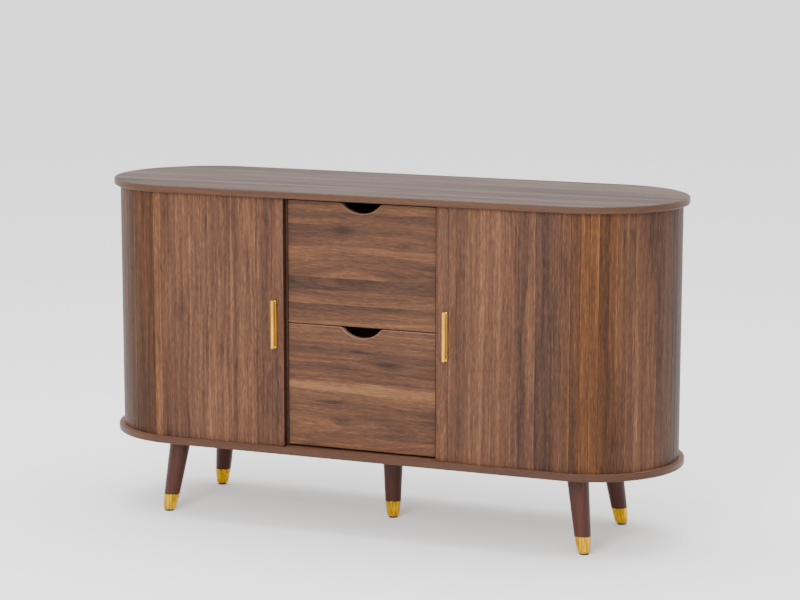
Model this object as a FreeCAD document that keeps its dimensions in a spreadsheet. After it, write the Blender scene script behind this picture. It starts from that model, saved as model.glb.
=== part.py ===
import FreeCAD, Part
import os
import Sketcher
from FreeCAD import Placement, Rotation, Vector

# Stadium-shaped sideboard with two sliding tambour doors and two drawers.
# Millimetres, +Z up, origin on the floor under the middle; the front faces -Y.

DRIVING = {
    # case
    "top_length": 1350.0,
    "top_depth": 425.0,
    "top_thickness": 15.0,
    "base_thickness": 15.0,
    "base_inset": 2.0,
    "board_ease": 1.5,
    "inner_height": 557.0,
    "liner_gap": 7.0,
    "liner_thickness": 6.0,
    "liner_start": 8.0,
    "liner_lap": 25.0,
    "partition_gap": 2.0,
    "partition_thickness": 15.0,
    "partition_setback": 2.5,
    # tambour doors
    "opening_half_width": 180.0,
    "tambour_inset": 14.0,
    "stile_width": 28.0,
    "stile_thickness": 12.0,
    "front_slats": 13,
    "lead_slats": 2,
    "end_slats": 19,
    "slat_thickness": 8.0,
    "slat_spacing": 0.35,
    "slat_taper": 1.0,
    "slat_ease": 0.3,
    "end_clearance": 0.5,
    "tongue_thickness": 5.0,
    "tongue_length": 5.0,
    "tongue_width": 12.0,
    "stile_tongue_inset": 4.0,
    "groove_clearance": 1.0,
    "groove_floor_gap": 1.0,
    "groove_lead": 2.0,
    # handles
    "handle_offset": 22.0,
    "handle_length": 107.0,
    "handle_height": 276.0,
    "handle_foot_width": 11.0,
    "handle_foot": 4.0,
    "handle_waist": 2.5,
    "handle_stand": 6.0,
    "handle_grip_width": 6.5,
    "handle_grip": 3.5,
    "handle_ease": 0.6,
    # drawers
    "front_side_gap": 6.0,
    "front_recess": 14.0,
    "front_thickness": 16.0,
    "gap_above": 5.5,
    "gap_between": 2.5,
    "gap_below": 5.5,
    "notch_chord": 94.0,
    "notch_depth": 23.0,
    "notch_flare": 8.0,
    "runner_space": 13.0,
    "box_thickness": 12.0,
    "box_height": 200.0,
    "box_raise": 18.0,
    "box_back_gap": 22.0,
    "bottom_thickness": 6.0,
    "bottom_raise": 8.0,
    "runner_height": 45.0,
    "runner_wall": 1.5,
    "runner_end_gap": 10.0,
    "runner_level": 70.0,
    "runner_clearance": 0.6,
    "channel_depth": 9.75,
    "channel_mouth": 30.0,
    # shelves
    "shelf_level": 271.0,
    "shelf_thickness": 15.0,
    "shelf_clearance": 0.5,
    "cleat_height": 20.0,
    "cleat_width": 15.0,
    "cleat_end_gap": 43.5,
    "cleat_depth": 22.5,
    "cleat_gap": 0.3,
    "cleat_sweep": 140.0,
    # legs
    "leg_height": 175.0,
    "foot_inset_x": 174.0,
    "foot_inset_y": 74.5,
    "leg_lean_x": 24.0,
    "leg_lean_y": 20.0,
    "leg_top_radius": 24.5,
    "leg_neck_radius": 18.0,
    "leg_cut_margin": 8.0,
    "ferrule_height": 36.0,
    "ferrule_wall": 0.4,
    "ferrule_foot_radius": 14.4,
    "ferrule_shoulder": 5.0,
    "ferrule_round": 3.0,
    "glide_radius": 10.5,
    "glide_height": 4.0,
}

# Sizes that follow from the driving ones.
DERIVED = {
    "end_x": "Sizes.top_length / 2 - Sizes.top_depth / 2",
    "face_radius": "Sizes.top_depth / 2 - Sizes.tambour_inset",
    "track_radius": "face_radius - Sizes.slat_thickness / 2",
    "liner_radius": "face_radius - Sizes.slat_thickness - Sizes.liner_gap",
    "slat_pitch": "(end_x - Sizes.opening_half_width - Sizes.stile_width) / Sizes.front_slats",
    "slat_angle": "slat_pitch / track_radius * 180 / pi",
    "base_top": "Sizes.leg_height + Sizes.base_thickness",
    "top_bottom": "base_top + Sizes.inner_height",
    "door_bottom": "base_top + Sizes.end_clearance",
    "door_height": "Sizes.inner_height - 2 * Sizes.end_clearance",
    "groove_depth": "Sizes.tongue_length - Sizes.end_clearance + Sizes.groove_floor_gap",
    "groove_half": "Sizes.tongue_thickness / 2 + Sizes.groove_clearance",
    "front_half": "Sizes.opening_half_width - Sizes.front_side_gap",
    "front_face": "face_radius - Sizes.front_recess",
    "front_height": "(Sizes.inner_height - Sizes.gap_above - Sizes.gap_between"
                    " - Sizes.gap_below) / 2",
    "partition_x": "front_half + Sizes.partition_gap",
    "partition_front": "front_face - Sizes.partition_setback",
    "box_half": "partition_x - Sizes.runner_space",
    "box_front": "front_face - Sizes.front_thickness",
    "box_depth": "box_front + liner_radius - Sizes.box_back_gap",
    "runner_length": "box_depth - Sizes.runner_end_gap",
    "lower_front_z": "base_top + Sizes.gap_below",
    "upper_front_z": "lower_front_z + front_height + Sizes.gap_between",
    "notch_radius": "(Sizes.notch_chord ^ 2 / 4 + Sizes.notch_depth ^ 2)"
                    " / (2 * Sizes.notch_depth)",
    "shelf_radius": "liner_radius - Sizes.liner_thickness - Sizes.shelf_clearance",
    "shelf_x": "partition_x + Sizes.partition_thickness + Sizes.shelf_clearance",
    "shelf_z": "base_top + Sizes.shelf_level",
    "cleat_half": "liner_radius - Sizes.cleat_end_gap",
    "foot_x": "Sizes.top_length / 2 - Sizes.foot_inset_x",
    "foot_y": "Sizes.top_depth / 2 - Sizes.foot_inset_y",
    "ferrule_top": "Sizes.glide_height + Sizes.ferrule_height",
}

doc = FreeCAD.newDocument("TambourSideboard")
parts = []


def fill_sheet(name, cells):
    """Write one sheet: plain numbers as text, or formulas, each with an alias."""
    sheet = doc.addObject("Spreadsheet::Sheet", name)
    for row, (alias, value) in enumerate(cells.items(), start=1):
        sheet.set("A%d" % row, alias)
        if isinstance(value, str):
            sheet.set("B%d" % row, "=" + value)
        else:
            sheet.set("B%d" % row, str(value))
        sheet.setAlias("B%d" % row, alias)
        doc.recompute()
    return sheet


sizes = fill_sheet("Sizes", DRIVING)
layout = fill_sheet("Layout", DERIVED)


def bind(obj, prop, formula):
    """Tie one property to the sheets."""
    obj.setExpression(prop, formula)


def place(obj, x="0", y="0", z="0"):
    """Tie an object's position to the sheets."""
    bind(obj, "Placement.Base.x", x)
    bind(obj, "Placement.Base.y", y)
    bind(obj, "Placement.Base.z", z)


def keep(obj, label):
    """Name a finished piece and list it for export."""
    obj.Label = label
    parts.append(obj)
    return obj


def new_body(name):
    body = doc.addObject("PartDesign::Body", name)
    body.AllowCompound = True
    return body


def base_plane(body, role):
    for feature in body.Origin.OriginFeatures:
        if feature.Role == role:
            return feature
    raise ValueError(role)


def new_sketch(body, name, role="XY_Plane", x="0", y="0", z="0"):
    """Sketch on one of the body's own planes, shifted by formulas."""
    sketch = body.newObject("Sketcher::SketchObject", name)
    sketch.AttachmentSupport = (base_plane(body, role), [""])
    sketch.MapMode = "FlatFace"
    bind(sketch, "AttachmentOffset.Base.x", x)
    bind(sketch, "AttachmentOffset.Base.y", y)
    bind(sketch, "AttachmentOffset.Base.z", z)
    return sketch


def driven(sketch, constraint, formula):
    """Add a dimension and tie it to the sheets."""
    index = sketch.addConstraint(constraint)
    bind(sketch, "Constraints[%d]" % index, formula)


def draw_polygon(sketch, points):
    """Closed outline whose corners are pairs of formulas."""
    count = len(points)
    start = [Vector(i + 1.0, 1.0 + i * i, 0) for i in range(count)]
    for i in range(count):
        sketch.addGeometry(Part.LineSegment(start[i], start[(i + 1) % count]), False)
    for i in range(count):
        sketch.addConstraint(Sketcher.Constraint("Coincident", i, 2, (i + 1) % count, 1))
    for i, (x, y) in enumerate(points):
        driven(sketch, Sketcher.Constraint("DistanceX", -1, 1, i, 1, start[i].x), x)
        driven(sketch, Sketcher.Constraint("DistanceY", -1, 1, i, 1, start[i].y), y)


def draw_circle(sketch, radius):
    sketch.addGeometry(Part.Circle(Vector(0, 0, 0), Vector(0, 0, 1), 10.0), False)
    sketch.addConstraint(Sketcher.Constraint("Coincident", 0, 3, -1, 1))
    driven(sketch, Sketcher.Constraint("Radius", 0, 10.0), radius)


def draw_stadium(sketch, centre, radius):
    """Two half circles joined by straight sides; centre is their distance from the middle."""
    half = 500.0
    r = 200.0
    up = Vector(0, 0, 1)
    sketch.addGeometry(Part.LineSegment(Vector(-half, -r, 0), Vector(half, -r, 0)), False)
    sketch.addGeometry(Part.LineSegment(Vector(half, r, 0), Vector(-half, r, 0)), False)
    right = Part.ArcOfCircle(Part.Circle(Vector(half, 0, 0), up, r), -1.5707963, 1.5707963)
    left = Part.ArcOfCircle(Part.Circle(Vector(-half, 0, 0), up, r), 1.5707963, 4.7123890)
    sketch.addGeometry(right, False)
    sketch.addGeometry(left, False)
    for first, end, second, begin in ((0, 2, 2, 1), (2, 2, 1, 1), (1, 2, 3, 1), (3, 2, 0, 1)):
        sketch.addConstraint(Sketcher.Constraint("Tangent", first, end, second, begin))
    sketch.addConstraint(Sketcher.Constraint("PointOnObject", 2, 3, -1))
    sketch.addConstraint(Sketcher.Constraint("PointOnObject", 3, 3, -1))
    sketch.addConstraint(Sketcher.Constraint("Equal", 2, 3))
    driven(sketch, Sketcher.Constraint("DistanceX", -1, 1, 2, 3, half), centre)
    driven(sketch, Sketcher.Constraint("DistanceX", 3, 3, -1, 1, half), centre)
    driven(sketch, Sketcher.Constraint("Radius", 2, r), radius)


def pad(body, sketch, name, length, reverse=False):
    feature = body.newObject("PartDesign::Pad", name)
    feature.Profile = sketch
    feature.Reversed = reverse
    bind(feature, "Length", length)
    return feature


def box(name, low, high):
    """Part::Box between two corners given as formulas."""
    obj = doc.addObject("Part::Box", name)
    for prop, a, b in zip(("Length", "Width", "Height"), low, high):
        bind(obj, prop, "(%s) - (%s)" % (b, a))
    place(obj, *low)
    return obj


def sector(name, inner, outer, height, x, z, start, sweep):
    """Ring sector round an upright axis; start and sweep are angles from +X."""
    solids = []
    for suffix, radius in (("_outer", outer), ("_inner", inner)):
        solid = doc.addObject("Part::Cylinder", name + suffix)
        bind(solid, "Radius", radius)
        bind(solid, "Height", height)
        bind(solid, "Angle", sweep)
        solid.Placement = Placement(Vector(0, 0, 0), Rotation(Vector(0, 0, 1), 1))
        bind(solid, "Placement.Rotation.Angle", start)
        place(solid, x, "0", z)
        solids.append(solid)
    return cut(name, solids[0], solids[1])


def cut(name, base, tool):
    obj = doc.addObject("Part::Cut", name)
    obj.Base = base
    obj.Tool = tool
    obj.Refine = True
    return obj


def fuse(name, solids):
    obj = doc.addObject("Part::MultiFuse", name)
    obj.Shapes = solids
    obj.Refine = True
    return obj


def group(name, solids):
    obj = doc.addObject("Part::Compound", name)
    obj.Links = solids
    return obj


def signed(side, formula):
    return "%d * (%s)" % (side, formula)


def span(side, near, far):
    """Low and high x of a piece that lies between near and far on one side."""
    if side > 0:
        return near, far
    return signed(-1, far), signed(-1, near)


SIDES = (("left", -1), ("right", 1))


# --- top and base boards, with the groove that guides the doors -------------------

def stadium_board(name, radius, thickness, z):
    body = new_body(name)
    sketch = new_sketch(body, name + "_outline", z=z)
    draw_stadium(sketch, "Layout.end_x", radius)
    slab = pad(body, sketch, name + "_slab", thickness)
    doc.recompute()
    rims = []
    for index, edge in enumerate(slab.Shape.Edges, start=1):
        box_z = edge.BoundBox
        if box_z.ZMax - box_z.ZMin < 0.001:
            rims.append("Edge%d" % index)
    ease = body.newObject("PartDesign::Chamfer", name + "_ease")
    ease.Base = (slab, rims)
    bind(ease, "Size", "Sizes.board_ease")
    body.Tip = ease
    return body


def groove_tool(name, z):
    """Straight runs and end bends that the door tongues follow."""
    low = "Layout.track_radius - Layout.groove_half"
    high = "Layout.track_radius + Layout.groove_half"
    depth = "Layout.groove_depth"
    solids = []
    for side_name, side in SIDES:
        x_low, x_high = span(side, "Sizes.opening_half_width - Sizes.groove_lead", "Layout.end_x")
        solids.append(box(name + "_run_" + side_name,
                          (x_low, "-(%s)" % high, z),
                          (x_high, "-(%s)" % low, "%s + %s" % (z, depth))))
        start = "-90" if side > 0 else "90"
        solids.append(sector(name + "_bend_" + side_name, low, high, depth,
                             signed(side, "Layout.end_x"), z, start, "180"))
    return fuse(name, solids)


top_blank = stadium_board("top_blank", "Sizes.top_depth / 2", "Sizes.top_thickness",
                          "Layout.top_bottom")
keep(cut("top_panel", top_blank, groove_tool("top_groove", "Layout.top_bottom")), "top_panel")

base_blank = stadium_board("base_blank", "Sizes.top_depth / 2 - Sizes.base_inset",
                           "Sizes.base_thickness", "Sizes.leg_height")
base_groove_z = "Layout.base_top - Layout.groove_depth"
keep(cut("base_panel", base_blank, groove_tool("base_groove", base_groove_z)), "base_panel")


# --- back, partitions, curved liners and shelves ----------------------------------

keep(box("back_panel",
         ("-Layout.end_x", "Layout.liner_radius", "Layout.base_top"),
         ("Layout.end_x", "Layout.face_radius", "Layout.top_bottom")), "back_panel")

for side_name, side in SIDES:
    outer = "Layout.partition_x + Sizes.partition_thickness"
    x_low, x_high = span(side, "Layout.partition_x", outer)
    keep(box("partition_" + side_name,
             (x_low, "-Layout.partition_front", "Layout.base_top"),
             (x_high, "Layout.liner_radius", "Layout.top_bottom")), "partition_" + side_name)

    inner = "Layout.liner_radius - Sizes.liner_thickness"
    start = "-90 + Sizes.liner_start" if side > 0 else "90"
    bend = sector("liner_bend_" + side_name, inner, "Layout.liner_radius",
                  "Sizes.inner_height", signed(side, "Layout.end_x"), "Layout.base_top",
                  start, "180 - Sizes.liner_start")
    x_low, x_high = span(side, "Layout.end_x - Sizes.liner_lap", "Layout.end_x")
    lap = box("liner_lap_" + side_name, (x_low, inner, "Layout.base_top"),
              (x_high, "Layout.liner_radius", "Layout.top_bottom"))
    keep(fuse("end_liner_" + side_name, [bend, lap]), "end_liner_" + side_name)

    shelf_top = "Layout.shelf_z + Sizes.shelf_thickness"
    x_low, x_high = span(side, "Layout.shelf_x", "Layout.end_x")
    leaf = box("shelf_leaf_" + side_name, (x_low, "-Layout.shelf_radius", "Layout.shelf_z"),
               (x_high, "Layout.shelf_radius", shelf_top))
    nose = doc.addObject("Part::Cylinder", "shelf_nose_" + side_name)
    bind(nose, "Radius", "Layout.shelf_radius")
    bind(nose, "Height", "Sizes.shelf_thickness")
    place(nose, signed(side, "Layout.end_x"), "0", "Layout.shelf_z")
    keep(fuse("shelf_" + side_name, [leaf, nose]), "shelf_" + side_name)

    cleat_z = "Layout.shelf_z - Sizes.cleat_height"
    x_low, x_high = span(side, outer, outer + " + Sizes.cleat_width")
    cleats = [box("cleat_partition_" + side_name,
                  (x_low, "-Layout.cleat_half", cleat_z),
                  (x_high, "Layout.cleat_half", "Layout.shelf_z"))]
    x_low, x_high = span(side, outer + " + 2 * Sizes.cleat_width",
                         "Layout.end_x - Sizes.liner_lap - Sizes.cleat_width")
    cleats.append(box("cleat_back_" + side_name,
                      (x_low, "Layout.liner_radius - Sizes.cleat_depth", cleat_z),
                      (x_high, "Layout.liner_radius", "Layout.shelf_z")))
    rim = inner + " - Sizes.cleat_gap"
    cleats.append(sector("cleat_bend_" + side_name, rim + " - Sizes.cleat_width", rim,
                         "Sizes.cleat_height", signed(side, "Layout.end_x"), cleat_z,
                         ("" if side > 0 else "180") + " - Sizes.cleat_sweep / 2",
                         "Sizes.cleat_sweep"))
    keep(group("shelf_cleats_" + side_name, cleats), "shelf_cleats_" + side_name)


# --- tambour doors ----------------------------------------------------------------

def slat_features(body, name, tongue):
    """One slat about its own upright centre line: outer face to -Y, back to +Y."""
    outer = "(Layout.slat_pitch - Sizes.slat_spacing) / 2"
    back = outer + " - Sizes.slat_taper"
    depth = "Sizes.slat_thickness / 2"
    ease = "Sizes.slat_ease"
    half = [("%s" % back, depth), (outer, "%s - (%s)" % (ease, depth)),
            ("%s - %s" % (outer, ease), "-" + depth)]
    mirrored = [("-(%s)" % x, y) for x, y in reversed(half)]
    offset_y = "-Layout.track_radius"
    sketch = new_sketch(body, name + "_profile", y=offset_y, z="Layout.door_bottom")
    draw_polygon(sketch, half + mirrored)
    features = [pad(body, sketch, name + "_slat", "Layout.door_height")]
    if tongue:
        x = "Sizes.tongue_width / 2"
        y = "Sizes.tongue_thickness / 2"
        sketch = new_sketch(body, name + "_tongue_profile", y=offset_y,
                            z="Layout.door_bottom - Sizes.tongue_length")
        draw_polygon(sketch, [(x, y), ("-" + x, y), ("-" + x, "-" + y), (x, "-" + y)])
        features.append(pad(body, sketch, name + "_tongue",
                            "Layout.door_height + 2 * Sizes.tongue_length"))
    return features


def front_slat(name, side, index, tongue):
    """Slat on the straight front; index 1 is next to the stile."""
    body = new_body(name)
    features = slat_features(body, name, tongue)
    body.Tip = features[-1]
    steps = "(Sizes.front_slats - %d + 0.5)" % index
    place(body, signed(side, "Layout.end_x - %s * Layout.slat_pitch" % steps))
    return body


for side_name, side in SIDES:
    door = "tambour_" + side_name
    width = "Sizes.stile_width"
    x_low, x_high = span(side, "Sizes.opening_half_width",
                         "Sizes.opening_half_width + %s - Sizes.slat_spacing / 2" % width)
    stile = box(door + "_stile_board",
                (x_low, "-Layout.face_radius", "Layout.door_bottom"),
                (x_high, "Sizes.stile_thickness - Layout.face_radius",
                 "Layout.door_bottom + Layout.door_height"))
    x_low, x_high = span(side, "Sizes.opening_half_width + Sizes.stile_tongue_inset",
                         "Sizes.opening_half_width + %s - Sizes.stile_tongue_inset" % width)
    y_low = "-Layout.track_radius - Sizes.tongue_thickness / 2"
    y_high = "-Layout.track_radius + Sizes.tongue_thickness / 2"
    z_low = "Layout.door_bottom - Sizes.tongue_length"
    z_high = "Layout.door_bottom + Layout.door_height + Sizes.tongue_length"
    tongue = box(door + "_stile_tongue", (x_low, y_low, z_low), (x_high, y_high, z_high))
    keep(fuse(door + "_stile", [stile, tongue]), door + "_stile")

    lead = [front_slat("%s_lead_%02d" % (door, k), side, k, True)
            for k in range(1, int(DRIVING["lead_slats"]) + 1)]
    keep(group(door + "_lead_slats", lead), door + "_lead_slats")

    for k in range(int(DRIVING["lead_slats"]) + 1, int(DRIVING["front_slats"]) + 1):
        label = "%s_slat_%02d" % (door, k)
        keep(front_slat(label, side, k, False), label)

    body = new_body(door + "_end_slats")
    features = slat_features(body, door + "_end", True)
    doc.recompute()
    fan = body.newObject("PartDesign::PolarPattern", door + "_fan")
    fan.Originals = features
    fan.Axis = (base_plane(body, "Z_Axis"), [""])
    fan.Reversed = side < 0
    bind(fan, "Angle", "Layout.slat_angle * (Sizes.end_slats - 1)")
    bind(fan, "Occurrences", "Sizes.end_slats")
    body.Tip = fan
    body.Placement = Placement(Vector(0, 0, 0), Rotation(Vector(0, 0, 1), 1))
    bind(body, "Placement.Rotation.Angle", signed(side, "Layout.slat_angle / 2"))
    place(body, signed(side, "Layout.end_x"))
    keep(body, door + "_end_slats")


# --- handles: upright bars with a waisted section ---------------------------------

for side_name, side in SIDES:
    name = "handle_" + side_name
    body = new_body(name)
    sole = "Sizes.handle_foot_width / 2"
    waist = "Sizes.handle_waist / 2"
    grip = "Sizes.handle_grip_width / 2"
    ease = "Sizes.handle_ease"
    foot = "-Sizes.handle_foot"
    stand = "-Sizes.handle_foot - Sizes.handle_stand"
    tip = stand + " - Sizes.handle_grip"
    right = [(sole, "0"), (sole, "%s + %s" % (foot, ease)),
             ("%s - %s" % (sole, ease), foot), (waist, foot), (waist, stand), (grip, stand),
             (grip, "%s + %s" % (tip, ease)), ("%s - %s" % (grip, ease), tip)]
    left = [("-(%s)" % x, y) for x, y in reversed(right)]
    sketch = new_sketch(body, name + "_profile", y="-Layout.face_radius",
                        z="Layout.base_top + Sizes.handle_height - Sizes.handle_length / 2")
    draw_polygon(sketch, right + left)
    bar = pad(body, sketch, name + "_bar", "Sizes.handle_length")
    body.Tip = bar
    place(body, signed(side, "Sizes.opening_half_width + Sizes.handle_offset"))
    keep(body, name)


# --- drawers ----------------------------------------------------------------------

def drawer_front(name, z):
    """Front board with a round-bottomed finger notch in its top edge."""
    body = new_body(name)
    sketch = new_sketch(body, name + "_outline", "XZ_Plane", y=z, z="Layout.box_front")
    half = "Layout.front_half"
    draw_polygon(sketch, [("-" + half, "0"), (half, "0"), (half, "Layout.front_height"),
                          ("-" + half, "Layout.front_height")])
    board = pad(body, sketch, name + "_board", "Sizes.front_thickness")
    level = "%s + Layout.front_height + Layout.notch_radius - Sizes.notch_depth" % z
    bite = new_sketch(body, name + "_bite", "XZ_Plane", y=level, z="Layout.box_front")
    draw_circle(bite, "Layout.notch_radius")
    doc.recompute()
    notch = body.newObject("PartDesign::Pocket", name + "_notch")
    notch.Profile = bite
    notch.Type = "ThroughAll"
    notch.Midplane = True
    doc.recompute()
    corner = DRIVING["notch_chord"] / 2
    top = notch.Shape.BoundBox.ZMax
    lips = []
    for index, edge in enumerate(notch.Shape.Edges, start=1):
        bounds = edge.BoundBox
        upright = bounds.ZMax - bounds.ZMin < 0.01 and bounds.XMax - bounds.XMin < 0.01
        if upright and abs(bounds.ZMax - top) < 0.01 and abs(abs(bounds.XMin) - corner) < 1:
            lips.append("Edge%d" % index)
    flare = body.newObject("PartDesign::Fillet", name + "_flare")
    flare.Base = (notch, lips)
    bind(flare, "Radius", "Sizes.notch_flare")
    body.Tip = flare
    return body


for level_name, z in (("lower", "Layout.lower_front_z"), ("upper", "Layout.upper_front_z")):
    name = "drawer_" + level_name
    keep(drawer_front(name + "_front", z), name + "_front")
    low = "%s + Sizes.box_raise" % z
    high = low + " + Sizes.box_height"
    y_front = "-Layout.box_front"
    y_back = "Layout.box_depth - Layout.box_front"
    inside = "Layout.box_half - Sizes.box_thickness"
    sides = []
    for side_name, side in SIDES:
        x_low, x_high = span(side, inside, "Layout.box_half")
        sides.append(box("%s_side_%s" % (name, side_name), (x_low, y_front, low),
                         (x_high, y_back, high)))
    keep(group(name + "_sides", sides), name + "_sides")
    keep(box(name + "_back", ("-(%s)" % inside, y_back + " - Sizes.box_thickness", low),
             (inside, y_back, high)), name + "_back")
    floor = low + " + Sizes.bottom_raise"
    keep(box(name + "_bottom", ("-(%s)" % inside, y_front, floor),
             (inside, y_back + " - Sizes.box_thickness", floor + " + Sizes.bottom_thickness")),
         name + "_bottom")


# --- drawer runners: a channel on each partition, a rail on each drawer side -------

def runner_profile(side, points):
    """Mirror a right-hand section for the left side, keeping its order of corners."""
    if side > 0:
        return points
    return [("-(%s)" % x, y) for x, y in reversed(points)]


def runner(name, side, z, points):
    body = new_body(name)
    sketch = new_sketch(body, name + "_profile", "XZ_Plane", y=z,
                        z="Layout.box_front - Layout.runner_length")
    draw_polygon(sketch, runner_profile(side, points))
    body.Tip = pad(body, sketch, name + "_length", "Layout.runner_length")
    return body


def channel_points():
    wall = "Sizes.runner_wall"
    web = "Layout.partition_x"
    lip = "Layout.partition_x - Sizes.channel_depth"
    tall = "Sizes.runner_height / 2"
    lip_end = "Sizes.channel_mouth / 2"
    upper = [(web, tall), (lip, tall), (lip, lip_end), ("%s + %s" % (lip, wall), lip_end),
             ("%s + %s" % (lip, wall), "%s - %s" % (tall, wall)),
             ("%s - %s" % (web, wall), "%s - %s" % (tall, wall))]
    lower = [(x, "-(%s)" % y) for x, y in reversed(upper)]
    return upper + lower


def rail_points():
    wall = "Sizes.runner_wall"
    root = "Layout.box_half"
    nose = "Layout.partition_x - %s - Sizes.runner_clearance" % wall
    tall = "Sizes.channel_mouth / 2 - Sizes.runner_clearance"
    shoe = "Sizes.runner_height / 2 - %s - Sizes.runner_clearance" % wall
    neck = "Layout.partition_x - Sizes.channel_depth + %s + Sizes.runner_clearance" % wall
    upper = [(nose, shoe), (neck, shoe), (neck, tall), (root, tall)]
    lower = [(x, "-(%s)" % y) for x, y in reversed(upper)]
    return upper + lower


channels = []
for level_name, z in (("lower", "Layout.lower_front_z"), ("upper", "Layout.upper_front_z")):
    axis_z = "%s + Sizes.box_raise + Sizes.runner_level" % z
    rails = []
    for side_name, side in SIDES:
        suffix = "%s_%s" % (level_name, side_name)
        channels.append(runner("channel_" + suffix, side, axis_z, channel_points()))
        rails.append(runner("rail_" + suffix, side, axis_z, rail_points()))
    keep(group("drawer_%s_rails" % level_name, rails), "drawer_%s_rails" % level_name)
keep(group("drawer_channels", channels), "drawer_channels")


# --- legs: round, tapered and splayed, with a ferrule and a glide -----------------

LEGS = (("legs_front", "left", -1, -1), ("legs_front", "right", 1, -1),
        ("legs_back", "left", -1, 1), ("legs_back", "right", 1, 1),
        ("legs_back", "middle", 0, 0))


def leg_slice(name, side_x, side_y, low, high, low_radius, high_radius):
    """Slice of a leaning turned cone between two level cuts; radii are at those cuts."""
    rise = "((%s) - (%s))" % (high, low)
    growth = "((%s) - (%s)) / %s" % (high_radius, low_radius, rise)
    margin = "Sizes.leg_cut_margin"
    run = "sqrt((%s) ^ 2 + (%s) ^ 2)" % (
        "Sizes.leg_lean_x * %d" % side_x, "Sizes.leg_lean_y * %d" % side_y)
    slant = "sqrt(1 + (%s / Sizes.leg_height) ^ 2)" % run
    start = "(%s) - %s" % (low, margin)
    cone = doc.addObject("Part::Cone", name + "_cone")
    bind(cone, "Radius1", "%s - %s * %s" % (low_radius, growth, margin))
    bind(cone, "Radius2", "%s + %s * %s" % (high_radius, growth, margin))
    bind(cone, "Height", "(%s + 2 * %s) * %s" % (rise, margin, slant))
    if side_x or side_y:
        lean_x = DRIVING["leg_lean_x"] * side_x
        lean_y = DRIVING["leg_lean_y"] * side_y
        axis = Vector(lean_y, -lean_x, 0)
        cone.Placement = Placement(Vector(0, 0, 0), Rotation(axis, 1))
        bind(cone, "Placement.Rotation.Angle", "atan(%s / Sizes.leg_height)" % run)
    place(cone,
          signed(side_x, "Layout.foot_x - Sizes.leg_lean_x * (%s) / Sizes.leg_height" % start),
          signed(side_y, "Layout.foot_y - Sizes.leg_lean_y * (%s) / Sizes.leg_height" % start),
          start)
    x_mid = signed(side_x, "Layout.foot_x")
    y_mid = signed(side_y, "Layout.foot_y")
    reach = "2 * (Sizes.leg_lean_x + Sizes.leg_lean_y + Sizes.leg_top_radius)"
    slab = box(name + "_slab",
               ("%s - %s" % (x_mid, reach), "%s - %s" % (y_mid, reach), low),
               ("%s + %s" % (x_mid, reach), "%s + %s" % (y_mid, reach), high))
    piece = doc.addObject("Part::Common", name)
    piece.Base = cone
    piece.Tool = slab
    return piece


def glide(name, side_x, side_y):
    foot = doc.addObject("Part::Cylinder", name)
    bind(foot, "Radius", "Sizes.glide_radius")
    bind(foot, "Height", "Sizes.glide_height")
    place(foot, signed(side_x, "Layout.foot_x"), signed(side_y, "Layout.foot_y"))
    return foot


legs = {}
ferrules = []
glides = []
for row_name, place_name, side_x, side_y in LEGS:
    name = "%s_%s" % (row_name, place_name)
    leg = leg_slice(name, side_x, side_y, "Layout.ferrule_top", "Sizes.leg_height",
                    "Sizes.leg_neck_radius", "Sizes.leg_top_radius")
    legs.setdefault(row_name, []).append(leg)
    name = "ferrule_%s_%s" % (row_name, place_name)
    shoulder = "Sizes.glide_height + Sizes.ferrule_shoulder"
    cup = leg_slice(name + "_cup", side_x, side_y, shoulder, "Layout.ferrule_top",
                    "Sizes.ferrule_foot_radius", "Sizes.leg_neck_radius + Sizes.ferrule_wall")
    toe = leg_slice(name + "_toe", side_x, side_y, "Sizes.glide_height", shoulder,
                    "Sizes.ferrule_foot_radius - Sizes.ferrule_round",
                    "Sizes.ferrule_foot_radius")
    ferrules.append(fuse(name, [cup, toe]))
    glides.append(glide("glide_%s_%s" % (row_name, place_name), side_x, side_y))
for row_name, solids in legs.items():
    keep(group(row_name, solids), row_name)
keep(group("leg_ferrules", ferrules), "leg_ferrules")
keep(group("leg_glides", glides), "leg_glides")


# --- check and write --------------------------------------------------------------

doc.recompute()
for obj in doc.Objects:
    if "Invalid" in obj.State or "Error" in obj.State:
        raise RuntimeError("%s: %s" % (obj.Label, obj.State))
for obj in parts:
    if obj.Shape.isNull() or not obj.Shape.isValid():
        raise RuntimeError("bad shape: " + obj.Label)

os.makedirs("parts", exist_ok=True)
for obj in parts:
    obj.Shape.exportStep(os.path.join("parts", obj.Label + ".step"))
    print(obj.Label, len(obj.Shape.Solids), round(obj.Shape.Volume / 1000, 2))
print("pieces", len(parts))
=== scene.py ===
# %% [markdown]
# # A walnut sideboard with sliding tambour doors
# The solids of the cabinet come ready-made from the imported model: boards, slats,
# drawers, runners and legs, each in its place. This lesson dresses them in walnut,
# brass and stain, rebuilds the turned pieces and those with softened edges as smooth
# surfaces, and lights the whole on a pale floor.

# %% Load the cabinet
import math
import bmesh
import bpy
from mathutils import Matrix, Vector


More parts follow.
